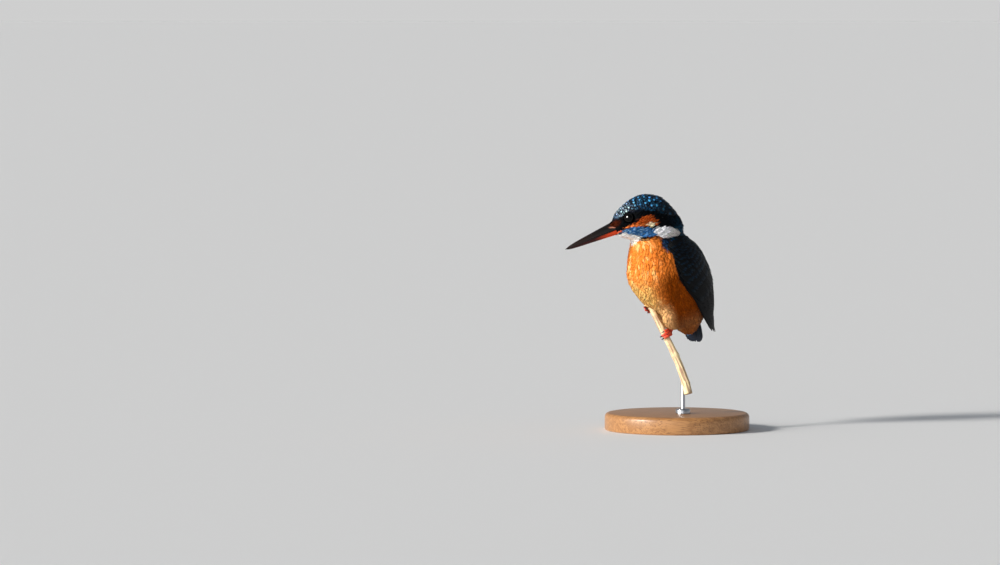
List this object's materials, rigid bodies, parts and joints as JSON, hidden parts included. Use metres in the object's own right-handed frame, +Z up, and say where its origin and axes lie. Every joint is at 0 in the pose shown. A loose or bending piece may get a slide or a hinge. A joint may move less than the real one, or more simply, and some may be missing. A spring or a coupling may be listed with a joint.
{
  "type": "kingfisher",
  "caption": "Life-size still model of a common kingfisher gripping a short cut twig, on a round display stand with a steel rod.",
  "frame": {"origin": "centre of the stand base's underside, on the surface the part stands on", "axes": "+Z up; seen along +Y, the bird's left side is in view and its bill points towards -X; the bird's own forward direction is (-0.71, -0.71, 0)"},
  "size_m": [0.1275, 0.1, 0.1636],
  "materials": {
    "crown_plumage": "feathers, soft with a blue sheen",
    "breast_plumage": "feathers, matt orange",
    "wing_plumage": "feathers, dark blue",
    "flight_feathers": "feathers, dark blue-black",
    "tail_feathers": "feathers, dark blue",
    "bill_horn": "horn, satin black",
    "bill_base": "horn, satin dark red",
    "eye": "polished, very dark brown",
    "foot_skin": "scaly skin, orange-red",
    "claw_horn": "horn, dark",
    "bark": "thin bark, matt",
    "stand_wood": "oiled, satin",
    "stand_steel": "satin"
  },
  "bodies": {
    "root": {"head": "crown_plumage", "neck": "breast_plumage", "trunk": "breast_plumage", "wing_left": "wing_plumage", "wing_right": "wing_plumage", "flight_left": "flight_feathers", "flight_right": "flight_feathers", "tail": "tail_feathers", "bill_upper": "bill_horn", "bill_lower": "bill_base", "eye_left": "eye", "eye_right": "eye", "leg_left": "foot_skin", "leg_right": "foot_skin", "foot_left": "foot_skin", "foot_right": "foot_skin", "claw_left_outer": "claw_horn", "claw_left_middle": "claw_horn", "claw_left_inner": "claw_horn", "claw_left_hind": "claw_horn", "claw_right_outer": "claw_horn", "claw_right_middle": "claw_horn", "claw_right_inner": "claw_horn", "claw_right_hind": "claw_horn", "perch": "bark", "stand_base": "stand_wood", "stand_rod": "stand_steel"}
  },
  "joints": []
}
